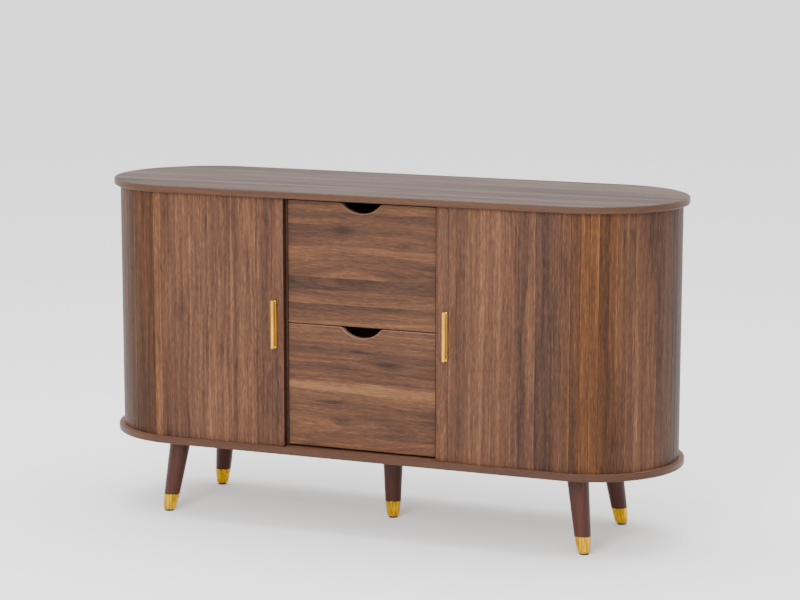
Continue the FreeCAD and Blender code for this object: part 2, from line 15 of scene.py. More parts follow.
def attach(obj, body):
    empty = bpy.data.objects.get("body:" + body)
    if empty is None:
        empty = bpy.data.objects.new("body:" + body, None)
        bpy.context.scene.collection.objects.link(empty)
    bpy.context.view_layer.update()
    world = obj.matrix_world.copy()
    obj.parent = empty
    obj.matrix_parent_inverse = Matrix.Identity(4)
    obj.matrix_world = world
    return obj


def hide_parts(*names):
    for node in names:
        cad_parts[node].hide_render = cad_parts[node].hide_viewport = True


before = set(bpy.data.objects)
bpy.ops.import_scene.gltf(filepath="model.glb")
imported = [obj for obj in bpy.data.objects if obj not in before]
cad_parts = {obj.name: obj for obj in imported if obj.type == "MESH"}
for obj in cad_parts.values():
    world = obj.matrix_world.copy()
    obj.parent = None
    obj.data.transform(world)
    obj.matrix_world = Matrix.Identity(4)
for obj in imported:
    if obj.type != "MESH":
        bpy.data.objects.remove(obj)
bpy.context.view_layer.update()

# %% [markdown]
# ## Two helpers for materials
# Finishes are easiest to name by hex codes, as on a paint chart, but light is mixed in
# linear values, so one function converts them. A material is a tree of nodes, which
# could be laid out by hand in the Shader editor. Written down it can be read and
# changed line by line, and one helper that adds a node keeps each line short.

# %% Colours and nodes
def linear(code):
    """sRGB hex such as "8a6550" to linear RGBA."""
    values = [int(code[i:i + 2], 16) / 255 for i in (0, 2, 4)]
    flat = [v / 12.92 if v <= 0.04045 else ((v + 0.055) / 1.055) ** 2.4 for v in values]
    return (*flat, 1.0)


def add(tree, kind, links=(), **settings):
    """Add a node with its settings, and fill its inputs.

    Links lists the inputs in order, or maps a name or number to each. An output is
    linked, a node stands for its first output, and anything else is a plain value.
    """
    node = tree.nodes.new("ShaderNode" + kind)
    for name, value in settings.items():
        setattr(node, name, value)
    for key, value in links.items() if isinstance(links, dict) else enumerate(links):
        source = value.outputs[0] if isinstance(value, bpy.types.Node) else value
        if isinstance(source, bpy.types.NodeSocket):
            tree.links.new(source, node.inputs[key])
        else:
            node.inputs[key].default_value = source
    return node


print("mid grey in linear light", round(linear("808080")[0], 3))

# %% [markdown]
# ## Camera
# A sideboard is best seen from a little above its top and from one side, so that the
# top, the front and one rounded end show. A camera could be turned by hand until the
# view is right. Here two angles and a slight roll give its three axes, which is exact
# and easy to change. It stands far off with a long lens, so that upright edges stay
# almost parallel.

# %% Camera
CAMERA_PLACE = (2.0543, -5.0153, 1.4123)
YAW, PITCH, ROLL = -0.38597, -0.16645, 0.00097  # radians
LENS, SENSOR_WIDTH = 110.03, 36  # millimetres
FAR_CLIP = 200  # metres, past the far end of the floor

forward = Vector((math.sin(YAW) * math.cos(PITCH), math.cos(YAW) * math.cos(PITCH),
                  math.sin(PITCH)))
level_axis = Vector((math.cos(YAW), -math.sin(YAW), 0))
upward = level_axis.cross(forward)
side_axis = level_axis * math.cos(ROLL) + upward * math.sin(ROLL)
up_axis = upward * math.cos(ROLL) - level_axis * math.sin(ROLL)
turn = Matrix((side_axis, up_axis, -forward)).transposed().to_4x4()

camera_data = bpy.data.cameras.new("studio_camera")
camera_data.lens = LENS
camera_data.sensor_width = SENSOR_WIDTH
camera_data.clip_end = FAR_CLIP
camera = bpy.data.objects.new("studio_camera", camera_data)
bpy.context.scene.collection.objects.link(camera)
camera.matrix_world = Matrix.Translation(CAMERA_PLACE) @ turn
bpy.context.scene.camera = camera
print("lens mm", round(camera_data.lens, 1), "place", [round(v, 2) for v in CAMERA_PLACE])

# %% [markdown]
# ## Floor
# The cabinet stands on a wide sheet of matt white paper. A sweep that curves up behind
# would hide the horizon, and so does a flat sheet that reaches far enough back, which
# is simpler.

# %% Floor
FLOOR_REACH = 80  # metres from the middle to each edge
FLOOR_CELLS = 8


def new_material(name):
    """A new material, its node tree and its Principled BSDF."""
    material = bpy.data.materials.new(name)
    material.use_nodes = True
    tree = material.node_tree
    return material, tree, tree.nodes["Principled BSDF"]


def matt_paper(name, code):
    """Uncoated paper off a mill's roll: loose fibres scatter the light, without sheen."""
    material, _, shader = new_material(name)
    shader.inputs["Base Color"].default_value = linear(code)
    shader.inputs["Roughness"].default_value = 0.95
    shader.inputs["Specular IOR Level"].default_value = 0.2
    return material


sheet = bmesh.new()
bmesh.ops.create_grid(sheet, x_segments=FLOOR_CELLS, y_segments=FLOOR_CELLS,
                      size=FLOOR_REACH)
floor_data = bpy.data.meshes.new("studio_floor")
sheet.to_mesh(floor_data)
sheet.free()
floor_data.materials.append(matt_paper("matt_white_paper", "f6f6f6"))
floor = bpy.data.objects.new("studio_floor", floor_data)
bpy.context.scene.collection.objects.link(floor)
print("floor metres across", 2 * FLOOR_REACH)

# %% [markdown]
# ## Light
# Satin lacquer and brushed brass want wide, soft highlights. Small lamps would draw
# hard spots on them, so the lamps are rectangles as large as the softboxes of a
# studio. The one in front is the key light, a weak one at the right models the rounded
# end, and one overhead lights the top. A white world fills the shadows.

# %% Lamps and world
# name, place, point aimed at, width and height, all in metres, and power in watts
LAMPS = (("softbox_front", (0.2, -4.6, 2.6), (0, 0, 0.4), (2.4, 2.0), 230),
         ("softbox_right", (3.6, -2.6, 2.4), (0.3, 0, 0.4), (1.6, 1.6), 12),
         ("softbox_top", (0.0, 0.2, 3.4), (0, 0, 0.7), (3.0, 2.4), 90))
WORLD_STRENGTH = 1.9

world = bpy.data.worlds.new("studio_world")
world.use_nodes = True
background = world.node_tree.nodes["Background"]
background.inputs["Color"].default_value = linear("ffffff")
background.inputs["Strength"].default_value = WORLD_STRENGTH
bpy.context.scene.world = world
for name, place, target, size, power in LAMPS:
    data = bpy.data.lights.new(name, "AREA")
    data.shape = "RECTANGLE"
    data.size, data.size_y = size
    data.energy = power
    lamp = bpy.data.objects.new(name, data)
    lamp.location = place
    aim = Vector(target) - Vector(place)
    lamp.rotation_euler = aim.to_track_quat("-Z", "Y").to_euler()
    bpy.context.scene.collection.objects.link(lamp)
print("lamps", [lamp[0] for lamp in LAMPS])

# %% [markdown]
# ## Walnut: the layers of its grain
# Veneer is sliced off a log with a long knife, and each size of figure on it has a
# cause: broad bands from good and bad years, growth lines a few millimetres apart,
# flecks where fibres dip under the surface, hair lines, and short dark pores. A scan
# of a veneer could be wrapped on the boards, but it would repeat and stretch. Here each
# layer is a noise stretched along the grain, with spots of a real width and length,
# so one function makes them all, for every board.

# %% Layers of grain
# spot width and length in millimetres, step between slices, detail and roughness
WANDER = (140, 450, 4.0, 1.0, 0.5)  # slow drift of the whole figure
RIPPLE = (33, 110, 5.0, 2.0, 0.5)  # small waves in the drift
BANDS = (42, 1100, 3.0, 3.0, 0.55)  # tones of good and bad years
LINES = (5.9, 620, 5.0, 2.5, 0.6)  # growth lines
FLECKS = (7.7, 165, 6.0, 3.0, 0.6)  # fibres that dip under the surface
HAIRS = (1.6, 100, 7.0, 2.0, 0.6)  # hair lines
TICKS = (2.1, 17, 8.0, 2.0, 0.6)  # short strokes of single bundles of fibre
GLINTS = (2.8, 50, 11.0, 2.0, 0.5)  # pale lights
SMUDGES = (17, 110, 2.0, 2.0, 0.5)  # dark clouds
SAPWOOD = (6.7, 1250, 13.0, 1.5, 0.5)  # long pale streaks
# real pores are about 0.2 wide and would vanish, so they are drawn coarser
PORES = (0.6, 13, 9.0, 2.0, 0.7)


def grain_layer(tree, place, layer):
    """Noise about 0.5, stretched along the grain; place is across, along and seed."""
    width, length, slice_step, detail, roughness = layer
    scale = (1000 / width, 1000 / length, slice_step)
    spot = add(tree, "VectorMath", (place, scale), operation="MULTIPLY")
    return add(tree, "TexNoise", {"Vector": spot, "Scale": 1.0, "Detail": detail,
                                  "Roughness": roughness})


print("growth lines mm", LINES[0], "pores mm", PORES[0])

# %% [markdown]
# ## Walnut: a figure that wanders
# No tree grows straight, so the figure drifts by about a centimetre along a board,
# with small waves in the drift. The boards' mesh could be distorted, but it is enough
# to shift the place that the growth layers are read at. Where the knife cuts across
# the rings, the lines close to long pointed arches. For those, the place across the
# board is replaced by the distance from a heart, the point that the arches close round.

# %% Wandering figure and heart
WANDER_REACH, RIPPLE_REACH = 0.020, 0.009  # metres


def wandering(tree, place, across):
    """Place across the grain after the figure has wandered."""
    for layer, reach in ((WANDER, WANDER_REACH), (RIPPLE, RIPPLE_REACH)):
        noise = grain_layer(tree, place, layer)
        shift = add(tree, "Math", (noise, 0.5), operation="SUBTRACT")
        across = add(tree, "Math", (shift, reach, across), operation="MULTIPLY_ADD")
    return across


def arches(tree, across, along, heart):
    """Distance from a heart; lean is how blunt the arches are."""
    heart_across, heart_along, lean = heart
    wide = add(tree, "Math", (across, heart_across), operation="SUBTRACT")
    far = add(tree, "Math", (along, heart_along), operation="SUBTRACT")
    far = add(tree, "Math", (far, lean), operation="MULTIPLY")
    square = add(tree, "Math", (wide, wide), operation="MULTIPLY")
    square = add(tree, "Math", (far, far, square), operation="MULTIPLY_ADD")
    return add(tree, "Math", (square,), operation="SQRT")


print("figure wanders by mm", round(WANDER_REACH / 2 * 1000))

# %% [markdown]
# ## Walnut: soft knots
# A knot is the foot of a branch. Growth lines step aside round it and close up again,
# and its middle is dark. Each could be painted by hand, but as a soft oval in the same
# tree of nodes it bends the real layers, so no line is cut off at its rim.

# %% Knots
KNOT_PUSH = -0.75  # share of its distance from a knot that the figure moves
KNOT_FOCUS = 3.0  # a higher power draws the dark middle in


def knot_field(tree, across, along, knots):
    """How far the figure steps aside for knots, and how dark they make a place.

    A knot is its place across and along, and its half width and half length, in metres.
    """
    aside, dark = 0.0, 0.0
    for knot_across, knot_along, half_width, half_length in knots:
        off_across = add(tree, "Math", (across, knot_across), operation="SUBTRACT")
        off_along = add(tree, "Math", (along, knot_along), operation="SUBTRACT")
        wide = add(tree, "Math", (off_across, half_width), operation="DIVIDE")
        far = add(tree, "Math", (off_along, half_length), operation="DIVIDE")
        off = add(tree, "CombineXYZ", (wide, far))
        rim = add(tree, "VectorMath", (off,), operation="LENGTH").outputs["Value"]
        near = add(tree, "MapRange", (rim, 0.0, 1.0, 1.0, 0.0),
                   interpolation_type="SMOOTHSTEP")
        push = add(tree, "Math", (off_across, near), operation="MULTIPLY")
        aside = add(tree, "Math", (push, KNOT_PUSH, aside), operation="MULTIPLY_ADD")
        middle = add(tree, "Math", (near, KNOT_FOCUS), operation="POWER")
        dark = add(tree, "Math", (middle, dark), operation="ADD")
    return aside, dark


print("figure moves aside by", -KNOT_PUSH, "of its distance from a knot")

# %% [markdown]
# ## Walnut: how light or dark
# All layers add up to one level from dark to light wood. They could be mixed colour by
# colour, but wood has one family of browns, so it is enough to add levels and to read
# the colour off a ramp at the end. Bands, lines, flecks, hairs and ticks swing both
# ways round the middle. Glints, smudges and sapwood only show where their noise is
# high.

# %% Level of walnut
# a noise stays within about a quarter of 0.5, so this swing spreads it over the ramp
FULL_SWING = 2.2
HAIRS_GAIN = 0.5
KNOT_SHADE = -0.30


def walnut_level(tree, across, along, seed, tone=None, heart=None, knots=(),
                 bands_gain=0.8, lines_gain=0.3, flecks_gain=0.7, ticks_gain=0.5,
                 sap_gain=0.0, smudges_from=0.66):
    """Level from 0 for dark to 1 for light wood, and the place that it was read at."""
    place = add(tree, "CombineXYZ", (across, along, seed))
    bent = wandering(tree, place, across)
    if knots:
        aside, dark = knot_field(tree, across, along, knots)
        bent = add(tree, "Math", (bent, aside), operation="ADD")
    rings = arches(tree, bent, along, heart) if heart else bent
    ring_place = add(tree, "CombineXYZ", (rings, along, seed))
    bent_place = add(tree, "CombineXYZ", (bent, along, seed))
    level = 0.5
    for spot, layer, swing in ((ring_place, BANDS, FULL_SWING * bands_gain),
                               (ring_place, LINES, FULL_SWING * lines_gain),
                               (bent_place, FLECKS, FULL_SWING / 2 * flecks_gain),
                               (place, HAIRS, HAIRS_GAIN), (place, TICKS, ticks_gain)):
        noise = grain_layer(tree, spot, layer)
        centred = add(tree, "Math", (noise, 0.5), operation="SUBTRACT")
        level = add(tree, "Math", (centred, swing, level), operation="MULTIPLY_ADD")
    # where a patch starts to show, where it is full, and what it adds
    for layer, start, full, change in ((GLINTS, 0.62, 0.80, 0.40),
                                       (SMUDGES, smudges_from, 0.80, -0.35),
                                       (SAPWOOD, 0.58, 0.76, sap_gain)):
        if change:
            noise = grain_layer(tree, place, layer)
            patch = add(tree, "MapRange", (noise, start, full, 0.0, change))
            level = add(tree, "Math", (level, patch), operation="ADD")
    if knots:
        level = add(tree, "Math", (dark, KNOT_SHADE, level), operation="MULTIPLY_ADD")
    if tone is not None:
        level = add(tree, "Math", (level, tone), operation="ADD")
    level = add(tree, "Math", (level, 0.0), operation="ADD", use_clamp=True)
    return level, place


print("bands at full gain swing the level by", FULL_SWING)

# %% [markdown]
# ## Walnut: colour and lacquer
# The ramp runs through a few browns from heartwood to light wood. Pores are open
# vessels that hold shadow, so they darken the colour, and thin satin lacquer sinks
# into them a little. Real dents would need millions of faces. A bump of a fifth of a
# millimetre turns the shading instead.

# %% Colour and lacquer
PORE_DENT = 0.0002  # metres
PORE_FROM, PORE_TO = 0.34, 0.52  # noise of a pore's middle and of its rim
PORE_SHADE, WOOD_LIGHT = 0.74, 1.03  # what a pore and the wood between multiply by


def walnut_colour(tree, level, place, shades):
    """Colour of walnut at a level, and its pore pattern."""
    ramp = add(tree, "ValToRGB", (level,))
    stops = ramp.color_ramp.elements
    stops[0].position, stops[0].color = 0.0, linear(shades[0])
    stops[1].position, stops[1].color = 1.0, linear(shades[-1])
    for number, code in enumerate(shades[1:-1], start=1):
        stops.new(number / (len(shades) - 1)).color = linear(code)
    pores = grain_layer(tree, place, PORES)
    shadow = add(tree, "MapRange", (pores, PORE_FROM, PORE_TO, PORE_SHADE, WOOD_LIGHT))
    colour = add(tree, "VectorMath", {0: ramp, "Scale": shadow}, operation="SCALE")
    return colour, pores


def lacquer(tree, shader, colour, pores, roughness, gloss):
    """Thin satin lacquer, sprayed and rubbed down: a low, wide sheen, dented by pores."""
    tree.links.new(colour.outputs[0], shader.inputs["Base Color"])
    shader.inputs["Roughness"].default_value = roughness
    shader.inputs["Specular IOR Level"].default_value = gloss
    bump = add(tree, "Bump", {"Height": pores, "Strength": 0.25, "Distance": PORE_DENT})
    tree.links.new(bump.outputs[0], shader.inputs["Normal"])


print("pores dent the lacquer by mm", PORE_DENT * 1000)

# %% [markdown]
# ## Veneer joined from leaves
# A log gives leaves no wider than itself, so a sheet of veneer is joined from several,
# and each has its own tone. Each leaf could be a mesh and a material of its own. Here
# a ramp with hard steps tells, for a place across the sheet, the tone of its leaf and
# a number of its own, so the joints are sharp and the solids stay whole.

# %% Leaves
def joined_leaves(tree, across, leaves):
    """Tone of the leaf at a place across the sheet, and a number of its own.

    A leaf is where it starts and its tone. The last entry only ends the sheet.
    """
    low, high = leaves[0][0], leaves[-1][0]
    share = add(tree, "MapRange", (across, low, high))
    ramp = add(tree, "ValToRGB", (share,))
    ramp.color_ramp.interpolation = "CONSTANT"
    stops = ramp.color_ramp.elements
    stops.remove(stops[1])
    for number, (start, tone) in enumerate(leaves[:-1]):
        stop = stops[0] if number == 0 else stops.new((start - low) / (high - low))
        # a ramp holds no negative values, so the tone is kept half a level up
        stop.color = (tone + 0.5, number / len(leaves), 0.0, 1.0)
    split = add(tree, "SeparateColor", (ramp,))
    tone = add(tree, "Math", (split.outputs["Red"], 0.5), operation="SUBTRACT")
    return tone, split.outputs["Green"]


# number of each leaf's first slat, counted from the handle, and tone
LEFT_LEAVES = ((-1, 0.0), (5, 0.1), (8, 0.0), (12, -0.15), (14, 0.2), (15, -0.25),
               (32, 0.0))
RIGHT_LEAVES = ((-1, 0.0), (2, 0.1), (6, -0.1), (9, 0.1), (10, -0.3), (12, -0.05),
                (16, 0.05), (17, -0.05), (22, -0.1), (25, -0.25), (32, 0.0))
print("leaves left", len(LEFT_LEAVES) - 1, "right", len(RIGHT_LEAVES) - 1)

# %% [markdown]
# ## Tambour doors: the way along the track
# A tambour is a sheet of upright slats on cloth that runs in a groove, straight along
# the front and then round the end. Its pattern has to follow that way. A UV map of
# every slat would do it, but so does a little arithmetic on the place: the distance
# from the middle on the straight front, and radius times angle on the round end.

# %% Distance along the track
END_X = 0.4625  # where the round end starts, in metres from the middle
TRACK_R = 0.1945


def cabinet_place(tree):
    """Outputs X, Y and Z of the place on the cabinet, in metres."""
    coords = add(tree, "TexCoord")
    return add(tree, "SeparateXYZ", (coords.outputs["Object"],)).outputs


def track_distance(tree, place):
    """Distance from the middle of the front, along the track."""
    out = add(tree, "Math", (place["X"],), operation="ABSOLUTE")
    past = add(tree, "Math", (out, END_X), operation="SUBTRACT")
    past = add(tree, "Math", (past, 0.0), operation="MAXIMUM")
    front = add(tree, "Math", (place["Y"], -1.0), operation="MULTIPLY")
    angle = add(tree, "Math", (past, front), operation="ARCTAN2")
    straight = add(tree, "Math", (out, END_X), operation="MINIMUM")
    return add(tree, "Math", (angle, TRACK_R, straight), operation="MULTIPLY_ADD")


print("way round one end mm", round(math.pi * TRACK_R * 1000))

# %% [markdown]
# ## Tambour doors: a tone for each slat
# The slats are sawn from one veneered sheet and put back nearly in order. So
# neighbours share a leaf but differ a little. Each slat is lightened towards its edges,
# a painted highlight that also pales the shade in the joints.
# A material for each slat could give it its tone. One material does it for all when it
# counts slats: the distance divided by the pitch, rounded down, is a slat's number.

# %% Tones of the slats
STILE_OUT = 0.208  # where the first slat starts, in metres along the track
SLAT_PITCH = (END_X - STILE_OUT) / 13
SLAT_CHANCE = 0.10
# painted highlight: how much lighter a slat's colour grows towards its edges
EDGE_PAINTED_LIGHT = 0.3
EDGE_LIGHT_FROM, EDGE_LIGHT_TO = 0.42, 0.48  # shares of the pitch, from the slat's middle
SIDE_STEP = 37.3  # keeps the numbers of the two doors apart


def slat_tones(tree, run, side, on_right, on_left):
    """Tone of each slat with a painted highlight along its edges, and a chance number for
    it.
    """
    from_first = add(tree, "Math", (run, STILE_OUT), operation="SUBTRACT")
    count = add(tree, "Math", (from_first, SLAT_PITCH), operation="DIVIDE")
    slat = add(tree, "Math", (count,), operation="FLOOR")
    slat = add(tree, "Math", (slat, -1.0), operation="MAXIMUM")
    own = add(tree, "Math", (side, SIDE_STEP, slat), operation="MULTIPLY_ADD")
    chance = add(tree, "TexWhiteNoise", {"W": own}, noise_dimensions="1D")
    # chance moves the right door's slats twice as far, and leaves the stiles alone
    spread = add(tree, "Math", (on_right, SLAT_CHANCE, SLAT_CHANCE),
                 operation="MULTIPLY_ADD")
    tone = add(tree, "Math", (chance, 0.5), operation="SUBTRACT")
    tone = add(tree, "Math", (tone, spread), operation="MULTIPLY")
    no_stile = add(tree, "Math", (slat, -0.5), operation="GREATER_THAN")
    tone = add(tree, "Math", (tone, no_stile), operation="MULTIPLY")
    middle = add(tree, "Math", (slat, 0.5), operation="ADD")
    for leaves, on_door in ((RIGHT_LEAVES, on_right), (LEFT_LEAVES, on_left)):
        leaf_tone, _ = joined_leaves(tree, middle, leaves)
        tone = add(tree, "Math", (leaf_tone, on_door, tone), operation="MULTIPLY_ADD")
    share = add(tree, "Math", (count,), operation="FRACT")
    off_middle = add(tree, "Math", (share, 0.5), operation="SUBTRACT")
    off_middle = add(tree, "Math", (off_middle,), operation="ABSOLUTE")
    # painted highlight along the slat edges, which also pales the shade in the joints
    edge_light = add(tree, "MapRange", (off_middle, EDGE_LIGHT_FROM, EDGE_LIGHT_TO, 0.0, EDGE_PAINTED_LIGHT))
    past_first = add(tree, "Math", (from_first, SLAT_PITCH / 2), operation="GREATER_THAN")
    tone = add(tree, "Math", (edge_light, past_first, tone), operation="MULTIPLY_ADD")
    return tone, chance


print("slat pitch mm", round(SLAT_PITCH * 1000, 2))

# %% [markdown]
# ## Tambour doors: painted shade in the bend
# The slats that stand in the bend are tinted warmer and darker, a painted shade for the
# round end, which the front light reaches less. A second material could be split off
# for them, but a door slides, and its slats take their colour along. A soft tint by
# distance along the track is part of the slats' own pattern.

# %% Painted shade of the bend
# painted shade: what the colour in the bend is multiplied by, warmer and darker
BEND_SHADE_TINT = linear("f9e8bc")[:3]
WARM_FROM, WARM_TO = END_X - 0.03, END_X + 0.05
FADE_FROM, FADE_TO = END_X + 0.09, END_X + 0.15


def painted_bend_shade(tree, colour, run, on_left):
    """Colour with a warm, darker tint in the bend, a painted shade; the left door's
    starts one slat later.
    """
    own_run = add(tree, "Math", (on_left, -SLAT_PITCH, run), operation="MULTIPLY_ADD")
    warm = add(tree, "MapRange", (own_run, WARM_FROM, WARM_TO),
               interpolation_type="SMOOTHSTEP")
    fade = add(tree, "MapRange", (run, FADE_FROM, FADE_TO, 1.0, 0.0),
               interpolation_type="SMOOTHSTEP")
    warmth = add(tree, "Math", (warm, fade), operation="MULTIPLY")
    # inputs 4 and 5 and output 1 are the Mix node's vectors
    tint = add(tree, "Mix", {0: warmth, 4: (1.0, 1.0, 1.0), 5: BEND_SHADE_TINT},
               data_type="VECTOR")
    return add(tree, "VectorMath", (colour, tint.outputs[1]), operation="MULTIPLY")


# the multiplier of the painted shade in the bend
print("warm leaf", [round(v, 2) for v in BEND_SHADE_TINT])

# %% [markdown]
# ## Tambour doors: the slats' walnut
# Walnut slices are glued on the slats with the grain upright. A Mapping node could turn
# a level figure upright, but it can't bend it round the end. So the layers are read at
# the height, which is the place along the grain, and at the distance along the track,
# which is the place across it. A board will need only other coordinates.

# %% Walnut of the slats
SLAT_SHADES = ("2e1d17", "3e291f", "4d3224", "5c3d2a", "735039")
SLICE_CHANCE = 0.25  # how far chance moves the slice of the log that a slat is cut from


def slat_walnut(name):
    """Sliced walnut on sawn slats, sanded and lacquered: upright figure, slat by slat."""
    material, tree, shader = new_material(name)
    place = cabinet_place(tree)
    run = track_distance(tree, place)
    side = add(tree, "Math", (place["X"],), operation="SIGN")
    on_right = add(tree, "Math", (side, 0.0), operation="GREATER_THAN")
    on_left = add(tree, "Math", (1.0, on_right), operation="SUBTRACT")
    tone, chance = slat_tones(tree, run, side, on_right, on_left)
    seed = add(tree, "Math", (chance, SLICE_CHANCE, side), operation="MULTIPLY_ADD")
    level, spot = walnut_level(tree, run, place["Z"], seed, tone, bands_gain=0.55,
                               lines_gain=0.36, flecks_gain=0.6, ticks_gain=1.0,
                               sap_gain=0.25, smudges_from=0.58)
    colour, pores = walnut_colour(tree, level, spot, SLAT_SHADES)
    # painted shade: the slats in the bend turn warmer and darker
    colour = painted_bend_shade(tree, colour, run, on_left)
    lacquer(tree, shader, colour, pores, roughness=0.5, gloss=0.13)
    return material


WALNUT_SLATS = slat_walnut("walnut_veneer_upright")
print("made", WALNUT_SLATS.name)

# %% [markdown]
# ## Boards
# The case is built of boards faced with walnut, and their long edges are covered with
# thin bands. The same layers serve them all: a board only says which way its grain
# runs, which slice of the log it is, which browns it has and how strong its figure is.
# Copies of one material would repeat the figure from board to board, so each board
# has a number of its own as its seed.

# %% Walnut of the boards
CASE_SHADES = ("2e1d17", "3e291f", "4d3223", "5d3d29", "714d33")
LEAF_STEP = 2.0  # how far apart the seeds of neighbouring leaves may lie


def board_walnut(name, seed, shades=CASE_SHADES, roughness=0.5, gloss=0.2, along="X",
                 across="Z", leaves=None, **figure):
    """Sliced veneer under satin lacquer; along and across are the grain's directions.

    Across may be "ROUND", for upright grain on a wall that follows the track.
    """
    material, tree, shader = new_material(name)
    place = cabinet_place(tree)
    if across == "ROUND":
        sideways, lengthways = track_distance(tree, place), place["Z"]
    else:
        sideways, lengthways = place[across], place[along]
    if leaves:
        figure["tone"], own = joined_leaves(tree, sideways, leaves)
        seed = add(tree, "Math", (own, LEAF_STEP, seed), operation="MULTIPLY_ADD")
    level, spot = walnut_level(tree, sideways, lengthways, seed, **figure)
    colour, pores = walnut_colour(tree, level, spot, shades)
    lacquer(tree, shader, colour, pores, roughness, gloss)
    return material


# the top: rubbed to a dull sheen; its browns are greyed, partly a painted sheen for
# the pale reflection of the room on a top seen at a low angle
WALNUT_TOP = board_walnut("walnut_veneer_top", 1.7,
                          ("2e221f", "42332d", "51403a", "635149"), gloss=0.05,
                          across="Y", bands_gain=0.9, lines_gain=0.42)
# the ledge of the base board: a quiet figure in browns lighter than the top's, a painted
# light for the ledge in the recess under the doors and drawers, which gets little light
WALNUT_LEDGE_PAINTED_LIGHT = board_walnut("walnut_veneer_ledge_painted_light", 2.9, ("563a2b", "644535", "735341"),
                            gloss=0.1, across="Y", bands_gain=0.5)
# edge bands: narrow strips ironed on, so their figure is weak and their sheen tighter
WALNUT_BAND = board_walnut("walnut_edge_band", 5.2, ("3b2519", "462d1f", "513525"), 0.45,
                           bands_gain=0.3, lines_gain=0.25)
# the base's band: the same strips in darker browns, a painted shade for the low band
BASE_BAND_PAINTED_SHADE = board_walnut("walnut_base_edge_band_painted_shade", 6.6,
                                ("372217", "41291c", "4b301f"), 0.45, bands_gain=0.3,
                                lines_gain=0.25)
print("made", WALNUT_TOP.name, WALNUT_LEDGE_PAINTED_LIGHT.name, WALNUT_BAND.name, BASE_BAND_PAINTED_SHADE.name)

# %% [markdown]
# ## Drawer fronts
# The drawer fronts are the show pieces. Their veneer has arches and soft knots, its
# grain runs along the cabinet, and leaves of light and dark wood lie one above the
# other. An image of a real front would be quick, but it could not be lit or scaled, so
# leaves, heart and knots are listed in metres on the cabinet.

# %% Walnut of the drawer fronts
# height at which each leaf starts, and tone
UPPER_LEAVES = ((0.469, 0.1), (0.515, 0.05), (0.546, -0.35), (0.574, 0.0),
                (0.640, -0.2), (0.690, -0.05), (0.742, 0.0))
LOWER_LEAVES = ((0.195, 0.05), (0.222, -0.05), (0.272, -0.05), (0.291, 0.0),
                (0.344, -0.2), (0.372, -0.2), (0.404, -0.1), (0.468, 0.0))
# height, place along the cabinet, half height and half length
UPPER_KNOTS = ((0.681, -0.039, 0.034, 0.070), (0.654, 0.100, 0.022, 0.060))
LOWER_KNOTS = ((0.388, 0.065, 0.030, 0.080), (0.258, -0.047, 0.026, 0.060))
DRAWER_FINISH = {"gloss": 0.14, "lines_gain": 0.3, "flecks_gain": 0.5, "ticks_gain": 0.7}

WALNUT_UPPER = board_walnut("walnut_veneer_upper_drawer", 3.1, heart=(0.572, -0.02, 0.20),
                            leaves=UPPER_LEAVES, knots=UPPER_KNOTS, **DRAWER_FINISH)
WALNUT_LOWER = board_walnut("walnut_veneer_lower_drawer", 6.4, heart=(0.243, -0.25, 0.12),
                            leaves=LOWER_LEAVES, knots=LOWER_KNOTS, **DRAWER_FINISH)
print("made", WALNUT_UPPER.name, WALNUT_LOWER.name)

# %% [markdown]
# ## Inside, back, and edges with painted light and shade
# Inside, the veneer is plainer, and the makers' everyday woods come in: plywood for
# the drawer boxes. The stiles' sides get a dark brown, a painted shade, and the upper
# faces of the drawer fronts a pale brown, a painted highlight. Plain colours would do
# behind closed doors, but the doors slide open, so each gets a quiet figure from the
# same function.

# %% Woods of the inside and the edges
# partitions, cleats and shelves: second-choice veneer, dull and rather dark
WALNUT_INSIDE = board_walnut("walnut_veneer_inside", 8.8, ("2a1c16", "3a281f", "493327"),
                             along="Z", across="Y", bands_gain=0.7)
WALNUT_SHELF = board_walnut("walnut_veneer_shelf", 4.4, ("35241c", "463227", "563e31"),
                            across="Y", bands_gain=0.6)
# liners: dull veneer bent round the ends, its grain upright
WALNUT_LINER = board_walnut("walnut_veneer_liner", 5.7, ("2e1f18", "3e2b21", "4f382b"),
                            across="ROUND", bands_gain=0.6)
# back: a flat board with a dull finish
WALNUT_BACK = board_walnut("walnut_veneer_back", 7.9, ("33251f", "48362b", "5d4839"),
                           gloss=0.1, along="Z", across="X", bands_gain=0.9)
# stile edges: a dark brown with a faint figure, a painted shade for the sides of the
# stiles, which face the gap beside the drawers
STILE_SIDE_PAINTED_SHADE = board_walnut("stile_side_painted_shade", 9.1, ("2b1108", "371a0e", "422113"), 0.6,
                         along="Z", across="Y", bands_gain=0.4)
# upper edges of the drawer fronts: a pale brown, a painted highlight for the faces
# that look up and catch the light
UPPER_EDGE_PAINTED_LIGHT = board_walnut("upper_edge_painted_light", 7.3, ("6b4d3c", "7b5a47", "8a6753"), 0.45,
                         bands_gain=0.4)
# drawer boxes: plywood of peeled birch under clear lacquer, cream and calm
PLY = board_walnut("birch_plywood", 2.2, ("b1946c", "c6a97e", "d6bd95"), along="Y",
                   bands_gain=0.5)
print("made", WALNUT_INSIDE.name, WALNUT_BACK.name, STILE_SIDE_PAINTED_SHADE.name, PLY.name)

# %% [markdown]
# ## Brass and steel
# The handles and ferrules are brass, cast or spun to shape and brushed along their
# length, and the runners are zinc-plated steel. A smooth metal would mirror the room
# and look like plastic, so two noises break it up: fine scratches of the brush, and
# wide strokes where the hand pressed more or less. They change colour and roughness,
# which is cheaper than real scratches.

# %% Brushed metal
# width and length in millimetres; real scratches are about 0.05 wide and would vanish,
# so they are drawn coarser
SCRATCHES = (0.4, 17)
STROKES = (2.4, 80)
SCRATCH_TINT = (0.9, 1.06)
STROKE_SPAN = (0.36, 0.64)  # most of the noise lies between these
SMOOTHER, ROUGHER = 0.06, 0.08  # how far the scratches change the roughness


